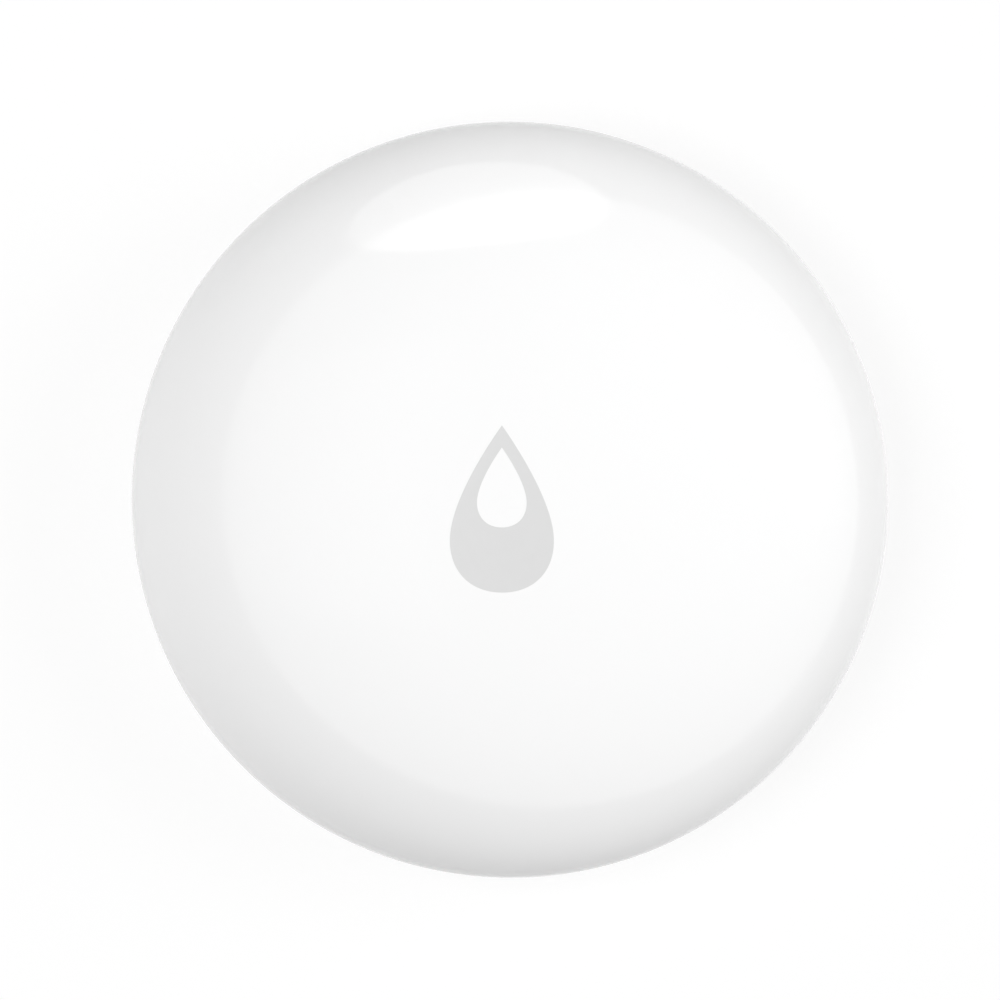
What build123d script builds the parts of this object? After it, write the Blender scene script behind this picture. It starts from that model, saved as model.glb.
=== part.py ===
from build123d import *
import math
import os

# A battery water leak sensor: a round domed puck that stands on two metal probes and two feet.
# Millimetres. The floor is z = 0, the dome faces +Z, and the drop sign on it points to +Y.

# Outer size
body_radius = 25.0
total_height = 15.0
widest_z = 5.4
crown_reach = 14.5
shoulder_z = 12.0

# Dome cap
cap_rim_radius = 23.3
cap_rim_z = 2.3
cap_inner_radius = 22.4
cap_inner_top = 13.5
cap_inner_reach = 13.5
cap_inner_shoulder_z = 10.6
cap_inner_wall_z = 6.2
press_post_radius = 1.6
snap_count = 3
snap_low = 3.7
snap_high = 4.7
snap_tip_radius = 20.95
snap_half_angle = 5.5
guide_rib_count = 6
guide_rib_radius = 22.0
guide_rib_width = 1.2

# Base shell
stand_height = 0.6
floor_thickness = 1.2
floor_top = stand_height + floor_thickness
base_bottom_radius = 21.6
flange_radius = 22.9
collar_outer = 21.8
collar_inner = 20.0
collar_top = 6.5
snap_groove_radius = 20.2
snap_groove_z = 5.55
snap_groove_half = 0.28
pocket_radius = 20.8
pocket_low = 3.1
pocket_high = 4.75
pocket_half_angle = 6.6
foot_radius = 2.0
foot_y = 17.5
rib_thickness = 0.8
rib_top = 3.4

# Battery socket, with a bayonet of three ramped ledges
socket_count = 3
recess_radius = 13.4
recess_top = 2.1
socket_bore = 12.2
socket_outer = 14.4
channel_radius = 13.3
channel_top = 4.25
socket_roof_top = 4.9
notch_phase = 50.0
notch_half_angle = 21.0
ramp_end_angle = 66.0
ramp_low = 2.7
turn_angle = 45.0
turn_drop = 0.5
ramp_slope = turn_drop / turn_angle

# Battery cover
cover_radius = 13.15
cover_top = 2.05
cover_skirt_outer = 11.95
cover_skirt_inner = 10.75
cover_skirt_top = 4.15
lug_half_angle = 17.0
lug_radius = 13.05
lug_top = 4.0
ramp_clearance = 0.05
seal_groove_radius = 12.55
seal_low = 1.0
seal_high = 1.7
cover_seal_inner = 12.6
cover_seal_outer = 13.36
coin_radius = 12.0
coin_thickness = 1.8
coin_depth = 1.0

# Coin cell, 20 by 3.2
cell_radius = 10.0
cell_height = 3.2
cell_bottom = 2.5
cell_top = cell_bottom + cell_height
cell_wall = 0.3
cell_cap_radius = 8.9
bay_radius = 10.25

# Circuit board and what is on it
board_radius = 18.8
board_bottom = 6.2
board_thickness = 1.0
board_top = board_bottom + board_thickness
screw_circle = 16.2
screw_angles = (90, 210, 330)
screw_boss_radius = 1.9
screw_head_radius = 1.5
screw_shank_radius = 0.75
screw_head_height = 0.9
screw_end = 3.2
led_y = 7.2

# Switch
switch_side = 5.2
switch_top = 8.6
switch_sheet = 0.15
plunger_radius = 1.1
plunger_top = 9.3
running_gap = 0.06

# Sealed chamber lid
gasket_thickness = 0.5
lid_rim_z = collar_top + gasket_thickness
lid_top = 9.9
lid_wall = 1.1
lid_radius = 21.6
lid_skirt_outer = collar_inner - 0.1
lid_skirt_inner = 19.0
lid_skirt_low = 5.1
membrane_hole = 3.4
membrane_top = 10.7
guide_radius = 1.2
guide_top = 12.3

# Probes
probe_x = 16.6
probe_head_radius = 2.6
probe_shank_radius = 1.0
probe_boss_radius = 2.4
probe_boss_top = 4.2
probe_hole_radius = 1.1
probe_seal_radius = 1.75
probe_seal_top = 1.4


def turned(*points):
    """A solid of revolution about Z from corner points (radius, height)."""
    return revolve(Plane.XZ * make_face(Polyline(*points, close=True)), Axis.Z)


def disc(radius, low, high, x=0.0, y=0.0):
    return Pos(x, y, low) * extrude(Circle(radius), high - low)


def ring(inner, outer, low, high, x=0.0, y=0.0):
    return Pos(x, y, low) * extrude(Circle(outer) - Circle(inner), high - low)


def block(x_size, y_size, low, high, x=0.0, y=0.0):
    return Pos(x, y, low) * extrude(Rectangle(x_size, y_size), high - low)


def polar(radius, angle):
    """The point (x, y) at a radius and an angle in degrees."""
    return (
        radius * math.cos(math.radians(angle)),
        radius * math.sin(math.radians(angle)),
    )


def radial_face(points, angle):
    """A face of (radius, height) corners that stands on Z at an angle in degrees."""
    upright = Plane.XZ * make_face(Polyline(*points, close=True))
    return Rot(0, 0, angle) * upright


def sector(points, start, end):
    """A section of (radius, height) corners swung about Z from one angle to another."""
    return revolve(radial_face(points, start), Axis.Z, end - start)


def winding_sector(inner, outer, stations, high):
    """A ring sector with a flat top, whose lower face runs through (angle, height) stations."""
    sections = []
    for angle, low in stations:
        corners = [
            (inner * 0.85, low),
            (outer * 1.15, low),
            (outer * 1.15, high),
            (inner * 0.85, high),
        ]
        sections.append(radial_face(corners, angle))
    wedge = loft(sections, ruled=True)
    return wedge & ring(inner, outer, stations[0][1] - 1, high + 1)


def ramp_stations(start, end, low_at_start, steps=4):
    """Evenly spaced stations along the cover's helix."""
    step = (end - start) / steps
    return [(start + i * step, low_at_start + ramp_slope * i * step) for i in range(steps + 1)]


def dome_face():
    """The cap's half section: the crown, the tuck under it, the rim and the moulded inside."""
    crown = Bezier(
        (0, total_height),
        (crown_reach, total_height),
        (body_radius, shoulder_z),
        (body_radius, widest_z),
    )
    tuck = TangentArc((body_radius, widest_z), (cap_rim_radius, cap_rim_z + 0.2), tangent=(0, -1))
    rim = Polyline(
        (cap_rim_radius, cap_rim_z + 0.2),
        (cap_rim_radius - 0.2, cap_rim_z),
        (cap_inner_radius, cap_rim_z),
        (cap_inner_radius, cap_inner_wall_z),
    )
    inside = Bezier(
        (cap_inner_radius, cap_inner_wall_z),
        (cap_inner_radius, cap_inner_shoulder_z),
        (cap_inner_reach, cap_inner_top),
        (0, cap_inner_top),
    )
    middle = Line((0, cap_inner_top), (0, total_height))
    return make_face([crown, tuck, rim, inside, middle])


def make_dome_cap():
    cap = revolve(Plane.XZ * dome_face(), Axis.Z)
    # The post presses the membrane, and three gussets stiffen it.
    cap += disc(press_post_radius, membrane_top, cap_inner_top + 0.4)
    for angle in (30, 150, 270):
        gusset = [(1.2, 11.9), (5.2, 13.1), (5.2, 13.7), (1.2, 13.7)]
        half = math.degrees(0.4 / 3.0)
        cap += sector(gusset, angle - half, angle + half)
    # Each snap hooks under the top of a pocket in the base's collar.
    snap = [
        (cap_inner_radius + 0.3, snap_low),
        (snap_tip_radius + 0.8, snap_low),
        (snap_tip_radius, snap_low + 0.45),
        (snap_tip_radius, snap_high),
        (cap_inner_radius + 0.3, snap_high),
    ]
    for index in range(snap_count):
        angle = 30 + index * 360 / snap_count
        cap += sector(snap, angle - snap_half_angle, angle + snap_half_angle)
    # Ribs between the snaps guide the cap on the collar.
    rib = block(0.8, guide_rib_width, cap_rim_z + 0.4, cap_inner_wall_z, guide_rib_radius + 0.4)
    for index in range(guide_rib_count):
        cap += Rot(0, 0, index * 360 / guide_rib_count) * rib
    return cap


def make_base_shell():
    base = turned(
        (recess_radius, stand_height),
        (base_bottom_radius, stand_height),
        (flange_radius - 0.25, floor_top - 0.55),
        (flange_radius, floor_top - 0.2),
        (flange_radius, floor_top),
        (collar_outer, floor_top),
        (collar_outer, collar_top - 0.4),
        (collar_outer - 0.3, collar_top),
        (collar_inner, collar_top),
        (collar_inner, snap_groove_z + snap_groove_half),
        (snap_groove_radius, snap_groove_z + 0.1),
        (snap_groove_radius, snap_groove_z - 0.1),
        (collar_inner, snap_groove_z - snap_groove_half),
        (collar_inner, floor_top),
        (socket_outer, floor_top),
        (socket_outer, socket_roof_top),
        (bay_radius + 1.35, socket_roof_top),
        (bay_radius + 1.35, board_bottom),
        (bay_radius, board_bottom),
        (bay_radius, channel_top),
        (socket_bore, channel_top),
        (socket_bore, recess_top),
        (recess_radius, recess_top),
    )
    base = cut_bayonet(base)
    base = add_bosses(base)
    for index in range(snap_count):
        angle = 30 + index * 360 / snap_count
        pocket = [
            (pocket_radius, pocket_low),
            (collar_outer + 0.5, pocket_low),
            (collar_outer + 0.5, pocket_high),
            (pocket_radius, pocket_high),
        ]
        base -= sector(pocket, angle - pocket_half_angle, angle + pocket_half_angle)
    # The slot lets the positive contact reach the cell's side.
    contact_slot = block(2.2, 3.6, channel_top - 0.1, board_bottom + 0.1, 10.9)
    base -= Rot(0, 0, 45) * contact_slot
    return base


def cut_bayonet(base):
    """Cuts the three entry notches, each with the channel beside it whose floor is a ramp."""
    for index in range(socket_count):
        middle = notch_phase + index * 360 / socket_count
        edge = middle + notch_half_angle
        notch_floor = recess_top - 0.1
        stations = [
            (middle - notch_half_angle, notch_floor),
            (middle, notch_floor),
            (edge, notch_floor),
        ]
        stations += ramp_stations(edge + 0.5, middle + ramp_end_angle, ramp_low)
        base -= winding_sector(socket_bore - 0.2, channel_radius, stations, channel_top - 0.05)
    return base


def add_bosses(base):
    """Adds the screw bosses, probe bosses, feet and floor ribs, and drills the bosses."""
    for angle in (30, 60, 120, 150, 240, 300):
        rib = block(collar_inner - socket_outer + 0.4, rib_thickness, floor_top - 0.1, rib_top)
        base += Rot(0, 0, angle) * Pos((collar_inner + socket_outer) / 2, 0, 0) * rib
    for angle in screw_angles:
        x, y = polar(screw_circle, angle)
        base += disc(screw_boss_radius, floor_top - 0.1, board_bottom, x, y)
        base -= disc(screw_shank_radius + 0.05, floor_top + 0.8, board_bottom + 0.1, x, y)
    for x in (-probe_x, probe_x):
        base += disc(probe_boss_radius, floor_top - 0.1, probe_boss_top, x, 0)
        base -= disc(probe_hole_radius, stand_height - 0.1, probe_boss_top + 0.1, x, 0)
        base -= disc(probe_seal_radius + 0.05, stand_height - 0.1, probe_seal_top, x, 0)
    for y in (-foot_y, foot_y):
        foot = disc(foot_radius, 0, stand_height + 0.1, 0, y)
        base += chamfer(foot.edges().group_by(Axis.Z)[0], 0.2)
    return base


def make_battery_cover():
    cover = turned(
        (0, stand_height),
        (cover_radius - 0.3, stand_height),
        (cover_radius, stand_height + 0.3),
        (cover_radius, seal_low),
        (seal_groove_radius, seal_low),
        (seal_groove_radius, seal_high),
        (cover_radius, seal_high),
        (cover_radius, cover_top),
        (cover_skirt_outer, cover_top),
        (cover_skirt_outer, cover_skirt_top),
        (cover_skirt_inner, cover_skirt_top),
        (cover_skirt_inner, cover_top),
        (8.4, cover_top),
        (8.4, cell_bottom),
        (7.4, cell_bottom),
        (7.4, cover_top),
        (0, cover_top),
    )
    # The slot is cut by a coin on edge, so its floor is an arc.
    coin_centre_z = stand_height + coin_depth - coin_radius
    coin = Pos(0, 0, coin_centre_z) * Rot(90, 0, 0) * Cylinder(coin_radius, coin_thickness)
    cover -= coin
    for index in range(socket_count):
        locked = notch_phase + index * 360 / socket_count + turn_angle
        climbed = ramp_slope * (turn_angle - lug_half_angle - notch_half_angle - 0.5)
        stations = ramp_stations(
            locked - lug_half_angle,
            locked + lug_half_angle,
            ramp_low + climbed + ramp_clearance,
        )
        cover += winding_sector(cover_skirt_outer - 0.3, lug_radius, stations, lug_top)
    return cover


def make_cover_seal():
    """An O-ring, drawn with the eight-sided section that the groove squeezes it to."""
    seal = ring(cover_seal_inner, cover_seal_outer, seal_low + 0.05, seal_high - 0.05)
    return chamfer(seal.edges(), 0.18)


def make_cell_can():
    crimp_z = cell_top - 0.35
    return turned(
        (0, cell_bottom),
        (cell_radius - 0.4, cell_bottom),
        (cell_radius, cell_bottom + 0.4),
        (cell_radius, crimp_z - 0.35),
        (cell_radius - 0.35, crimp_z),
        (cell_cap_radius + 0.25, crimp_z),
        (cell_cap_radius + 0.25, crimp_z - 0.15),
        (cell_radius - cell_wall, crimp_z - 0.45),
        (cell_radius - cell_wall, cell_bottom + cell_wall),
        (0, cell_bottom + cell_wall),
    )


def make_cell_grommet():
    crimp_z = cell_top - 0.35
    return turned(
        (cell_cap_radius, cell_bottom + cell_wall),
        (cell_radius - cell_wall, cell_bottom + cell_wall),
        (cell_radius - cell_wall, crimp_z - 0.45),
        (cell_cap_radius + 0.25, crimp_z - 0.15),
        (cell_cap_radius + 0.25, crimp_z),
        (cell_cap_radius, crimp_z),
    )


def make_cell_cap():
    cap = disc(cell_cap_radius, cell_bottom + cell_wall, cell_top)
    return chamfer(cap.edges().group_by(Axis.Z)[-1], 0.25)


def bent_strip(points, width, thickness, bend_radius):
    """A strip of sheet along (distance, height) points, centred on the XZ plane."""
    path = FilletPolyline(*points, radius=bend_radius)
    outline = trace(path, thickness)
    return extrude(Plane.XZ * outline, width / 2, both=True)


def make_contact_positive():
    """A side spring: its foot is soldered under the board and its bow bears on the can."""
    foot_z = board_bottom - 0.1
    points = [(14.2, foot_z), (11.5, foot_z), (cell_radius + 0.14, 5.0), (10.9, 4.55)]
    return Rot(0, 0, 45) * bent_strip(points, 2.8, 0.2, 0.3)


def make_contact_negative():
    """A leaf under the board whose tip bears on the cell's negative face."""
    foot_z = board_bottom - 0.08
    tip_z = cell_top + 0.09
    points = [(-8.6, foot_z), (-5.2, foot_z), (0.4, tip_z), (1.8, tip_z + 0.25)]
    return Rot(0, 0, 45) * bent_strip(points, 3.0, 0.15, 0.6)


def make_circuit_board():
    board = disc(board_radius, board_bottom, board_top)
    for angle in screw_angles:
        x, y = polar(screw_circle, angle)
        board -= disc(screw_shank_radius + 0.25, board_bottom - 0.1, board_top + 0.1, x, y)
    for angle in (60, 240):
        x, y = polar(board_radius, angle)
        board -= disc(0.9, board_bottom - 0.1, board_top + 0.1, x, y)
    return board


def make_board_screws():
    screws = []
    for angle in screw_angles:
        x, y = polar(screw_circle, angle)
        head = disc(screw_head_radius, board_top, board_top + screw_head_height)
        screw = head + disc(screw_shank_radius, screw_end, board_top)
        screws.append(Pos(x, y, 0) * screw)
    return Compound(screws)


def make_radio_chip():
    chip = block(6.0, 6.0, board_top, board_top + 0.85, -8.6, -2.0)
    return chip - disc(0.4, board_top + 0.75, board_top + 1, -10.6, 0.0)


def make_crystal():
    lid = block(3.0, 2.3, board_top + 0.3, board_top + 0.8, -8.6, 4.2)
    lid = chamfer(lid.edges().filter_by(Axis.Z), 0.3)
    return lid + block(3.2, 2.5, board_top, board_top + 0.35, -8.6, 4.2)


def make_board_passives():
    """Resistors and capacitors: a block of eight, a column of four, and a pair by the LED."""
    places = [(6.0 + 1.7 * column, -4.0 - 1.6 * row) for column in range(4) for row in range(2)]
    places += [(8.0, 1.5 + 1.6 * row) for row in range(4)]
    places += [(-3.2, 8.0), (3.2, 8.0)]
    chips = [block(1.0, 0.5, board_top, board_top + 0.45, x, y) for x, y in places]
    return Compound(chips)


def make_board_antenna():
    """A flat copper track that folds back and forth near the board's edge."""
    points = [(-5.6, -12.4)]
    for fold in range(6):
        x = -5.6 + 1.9 * fold
        far, near = -16.4, -13.4
        first, second = (far, near) if fold % 2 == 0 else (near, far)
        start_y = points[-1][1]
        if abs(start_y - first) > 0.01:
            points.append((x, first))
        points.append((x + 1.9, first))
    track = trace(Polyline(*points), 0.7)
    return Pos(0, 0, board_top) * extrude(track, 0.07)


def make_status_led():
    base = block(1.6, 0.8, board_top, board_top + 0.3, 0, led_y)
    return base + block(1.0, 0.8, board_top + 0.3, board_top + 0.65, 0, led_y)


def make_switch_body():
    body = block(switch_side, switch_side, board_top, switch_top - switch_sheet)
    body = chamfer(body.edges().filter_by(Axis.Z), 0.5)
    return body - disc(1.9, board_top + 0.3, switch_top)


def make_switch_frame():
    """A stamped sheet over the switch, with two sides folded down."""
    sheet = block(switch_side, switch_side, switch_top - switch_sheet, switch_top)
    sheet = chamfer(sheet.edges().filter_by(Axis.Z), 0.5)
    sheet -= disc(plunger_radius + running_gap, switch_top - 1, switch_top + 1)
    for side in (-1, 1):
        x = side * (switch_side + switch_sheet) / 2
        sheet += block(switch_sheet, 3.0, switch_top - 1.0, switch_top, x, 0)
    return sheet


def make_switch_plunger():
    return turned(
        (0, board_top + 0.7),
        (1.5, board_top + 0.7),
        (1.5, board_top + 1.1),
        (plunger_radius, board_top + 1.1),
        (plunger_radius, plunger_top - 0.15),
        (plunger_radius - 0.15, plunger_top),
        (0, plunger_top),
    )


def make_inner_cover():
    """The chamber's lid, whose skirt has a bead that snaps into the groove in the collar."""
    lid = turned(
        (membrane_hole, lid_top - lid_wall),
        (15.4, lid_top - lid_wall),
        (18.4, 8.3),
        (lid_skirt_inner, 7.3),
        (lid_skirt_inner, lid_skirt_low),
        (lid_skirt_outer, lid_skirt_low),
        (lid_skirt_outer, snap_groove_z - 0.2),
        (snap_groove_radius - 0.08, snap_groove_z - 0.03),
        (snap_groove_radius - 0.08, snap_groove_z + 0.03),
        (lid_skirt_outer, snap_groove_z + 0.2),
        (lid_skirt_outer, lid_rim_z),
        (lid_radius, lid_rim_z),
        (lid_radius, 7.6),
        (19.6, 9.3),
        (16.0, lid_top),
        (membrane_hole, lid_top),
    )
    return lid - disc(guide_radius + 0.05, lid_top - 2, lid_top + 1, 0, led_y)


def make_chamber_gasket():
    return ring(collar_inner + 0.2, lid_radius - 0.2, collar_top, lid_rim_z)


def make_button_membrane():
    """A diaphragm: a flange on the lid, a lip in its hole, a thin web and a pressed middle."""
    return turned(
        (0, plunger_top),
        (1.6, plunger_top),
        (1.8, 9.6),
        (2.95, 9.6),
        (2.95, 9.0),
        (membrane_hole - 0.05, 9.0),
        (membrane_hole - 0.05, lid_top),
        (4.8, lid_top),
        (4.8, lid_top + 0.4),
        (2.95, lid_top + 0.4),
        (2.75, 9.85),
        (1.9, 9.85),
        (1.7, membrane_top),
        (0, membrane_top),
    )


def make_light_guide():
    stem = disc(guide_radius, board_top + 0.95, guide_top)
    stem = chamfer(stem.edges().group_by(Axis.Z)[-1], 0.3)
    return Pos(0, led_y, 0) * (stem + disc(guide_radius + 0.8, lid_top, lid_top + 0.5))


def make_probe(x):
    """A flat-headed screw whose head stands under the base and whose end reaches the standoff."""
    head = disc(probe_head_radius, 0, stand_height)
    head = chamfer(head.edges().group_by(Axis.Z)[0], 0.15)
    head -= block(3.4, 0.7, -0.1, 0.3)
    shank = disc(probe_shank_radius, stand_height, board_bottom - 0.3)
    shank = chamfer(shank.edges().group_by(Axis.Z)[-1], 0.2)
    return Pos(x, 0, 0) * (head + shank)


def make_probe_seals():
    seals = []
    for x in (-probe_x, probe_x):
        seal = ring(probe_shank_radius, probe_seal_radius, stand_height, probe_seal_top - 0.1, x)
        outer_edges = seal.edges().filter_by(GeomType.CIRCLE).group_by(SortBy.RADIUS)[-1]
        seals.append(chamfer(outer_edges, 0.2))
    return Compound(seals)


def make_probe_standoffs():
    """Hexagonal brass standoffs, soldered under the board, that the probes screw into."""
    standoffs = []
    for x in (-probe_x, probe_x):
        hexagon = RegularPolygon(1.8, 6) - Circle(probe_shank_radius + 0.02)
        body = extrude(hexagon, board_bottom - probe_boss_top)
        standoffs.append(Pos(x, 0, probe_boss_top) * body)
    return Compound(standoffs)


nodes = {
    "dome_cap": make_dome_cap(),
    "base_shell": make_base_shell(),
    "inner_cover": make_inner_cover(),
    "chamber_gasket": make_chamber_gasket(),
    "button_membrane": make_button_membrane(),
    "light_guide": make_light_guide(),
    "circuit_board": make_circuit_board(),
    "radio_chip": make_radio_chip(),
    "crystal": make_crystal(),
    "board_passives": make_board_passives(),
    "board_antenna": make_board_antenna(),
    "status_led": make_status_led(),
    "switch_body": make_switch_body(),
    "switch_frame": make_switch_frame(),
    "switch_plunger": make_switch_plunger(),
    "board_screws": make_board_screws(),
    "contact_positive": make_contact_positive(),
    "contact_negative": make_contact_negative(),
    "cell_can": make_cell_can(),
    "cell_cap": make_cell_cap(),
    "cell_grommet": make_cell_grommet(),
    "battery_cover": make_battery_cover(),
    "cover_seal": make_cover_seal(),
    "probe_left": make_probe(-probe_x),
    "probe_right": make_probe(probe_x),
    "probe_seals": make_probe_seals(),
    "probe_standoffs": make_probe_standoffs(),
}

os.makedirs("parts", exist_ok=True)
for name, shape in nodes.items():
    export_step(shape, f"parts/{name}.step")
    print(name, round(shape.volume, 2))
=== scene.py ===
# Round battery water leak sensor: finishes, printed sign, small detail and a white studio
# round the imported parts. Everything is in metres, in the frame of the parts.
# Shapes are written in millimetres and scaled by mm.
import bpy
import bmesh
import math
from mathutils import Vector, Matrix


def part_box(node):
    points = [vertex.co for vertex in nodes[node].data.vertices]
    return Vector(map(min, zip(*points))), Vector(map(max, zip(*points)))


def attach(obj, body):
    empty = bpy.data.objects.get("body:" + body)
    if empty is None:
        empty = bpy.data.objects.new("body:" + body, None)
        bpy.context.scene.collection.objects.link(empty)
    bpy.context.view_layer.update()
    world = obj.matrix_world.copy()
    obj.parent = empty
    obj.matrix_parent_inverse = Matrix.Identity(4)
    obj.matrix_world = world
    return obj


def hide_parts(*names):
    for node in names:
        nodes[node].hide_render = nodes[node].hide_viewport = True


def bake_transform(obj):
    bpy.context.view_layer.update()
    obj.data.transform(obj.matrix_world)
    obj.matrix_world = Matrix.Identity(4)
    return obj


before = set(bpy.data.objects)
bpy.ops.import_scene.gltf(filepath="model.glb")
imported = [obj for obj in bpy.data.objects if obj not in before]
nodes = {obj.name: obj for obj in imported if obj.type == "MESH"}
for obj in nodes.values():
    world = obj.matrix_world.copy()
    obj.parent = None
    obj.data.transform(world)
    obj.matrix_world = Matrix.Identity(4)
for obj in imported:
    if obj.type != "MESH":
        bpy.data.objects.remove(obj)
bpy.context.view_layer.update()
mm = 0.001
onAxis = 1e-6      # a smaller radius counts as a point on the axis
sharpAngle = 35    # degrees: the shading breaks at sharper edges
print("parts loaded:", len(nodes))


# mesh helpers

def makeObject(name, bm, material, breakAngle=sharpAngle):
    bmesh.ops.recalc_face_normals(bm, faces=bm.faces)
    mesh = bpy.data.meshes.new(name)
    bm.to_mesh(mesh)
    bm.free()
    mesh.materials.append(material)
    mesh.shade_smooth()
    mesh.set_sharp_from_angle(angle=math.radians(breakAngle))
    obj = bpy.data.objects.new(name, mesh)
    bpy.context.scene.collection.objects.link(obj)
    return obj


def lathe(bm, profile, steps=96, centre=(0, 0)):
    # profile: closed loop of (radius, height) in mm, turned about a vertical line through centre
    rings = []
    for radius, height in profile:
        if radius < onAxis:
            rings.append([bm.verts.new((centre[0] * mm, centre[1] * mm, height * mm))])
            continue
        ring = []
        for i in range(steps):
            a = 2 * math.pi * i / steps
            x = centre[0] + radius * math.cos(a)
            y = centre[1] + radius * math.sin(a)
            ring.append(bm.verts.new((x * mm, y * mm, height * mm)))
        rings.append(ring)
    for low, high in zip(rings, rings[1:] + rings[:1]):
        if len(low) == 1 and len(high) == 1:
            continue
        for i in range(steps):
            j = (i + 1) % steps
            corners = [low[i % len(low)], low[j % len(low)], high[j % len(high)], high[i % len(high)]]
            bm.faces.new(list(dict.fromkeys(corners)))  # a triangle beside a point on the axis


def roundedProfile(points, radius, arcSteps=4):
    # rounds each corner of a closed (radius, height) loop, but leaves the points on the axis
    flatTurn = 8       # degrees: a corner that turns less stays as it is
    reachShare = 0.45  # of either side, so that two roundings never meet
    result = []
    count = len(points)
    for i, point in enumerate(points):
        here = Vector(point)
        if here.x < onAxis:
            result.append(tuple(here))
            continue
        back = Vector(points[i - 1]) - here
        ahead = Vector(points[(i + 1) % count]) - here
        turn = back.angle(ahead)
        if math.degrees(math.pi - turn) < flatTurn:
            result.append(tuple(here))
            continue
        reach = min(radius / math.tan(turn / 2), back.length * reachShare, ahead.length * reachShare)
        start = here + back.normalized() * reach
        end = here + ahead.normalized() * reach
        for s in range(arcSteps + 1):
            t = s / arcSteps
            result.append(tuple(start * (1 - t) ** 2 + here * 2 * t * (1 - t) + end * t ** 2))
    return result


def addBox(bm, centre, size, edge=0.0, turn=0.0):
    # edge: width of its bevels, in mm. turn: degrees about the vertical.
    made = bmesh.ops.create_cube(bm, size=1.0)["verts"]
    place = Matrix.Translation(Vector(centre) * mm) @ Matrix.Rotation(math.radians(turn), 4, "Z")
    place = place @ Matrix.Diagonal((size[0] * mm, size[1] * mm, size[2] * mm, 1))
    bmesh.ops.transform(bm, matrix=place, verts=made)
    if edge:
        edges = list({e for v in made for e in v.link_edges})
        bmesh.ops.bevel(bm, geom=edges, offset=edge * mm, segments=2, profile=0.6, affect="EDGES")


def addPrism(bm, corners, low, high):
    # an upright block on an outline of (x, y) corners
    under = [bm.verts.new((x * mm, y * mm, low * mm)) for x, y in corners]
    over = [bm.verts.new((x * mm, y * mm, high * mm)) for x, y in corners]
    count = len(corners)
    bm.faces.new(under)
    bm.faces.new(over)
    for i in range(count):
        j = (i + 1) % count
        bm.faces.new([under[i], under[j], over[j], over[i]])


def crossOutline(length, width, centre=(0, 0), turn=0.0):
    # the twelve corners of a plus
    arm, half = length / 2, width / 2
    corners = []
    for quarter in range(4):
        a = math.radians(turn - 90 * quarter)
        c, s = math.cos(a), math.sin(a)
        for x, y in ((half, half), (arm, half), (arm, -half)):
            corners.append((centre[0] + x * c - y * s, centre[1] + x * s + y * c))
    return corners


# materials

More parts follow.
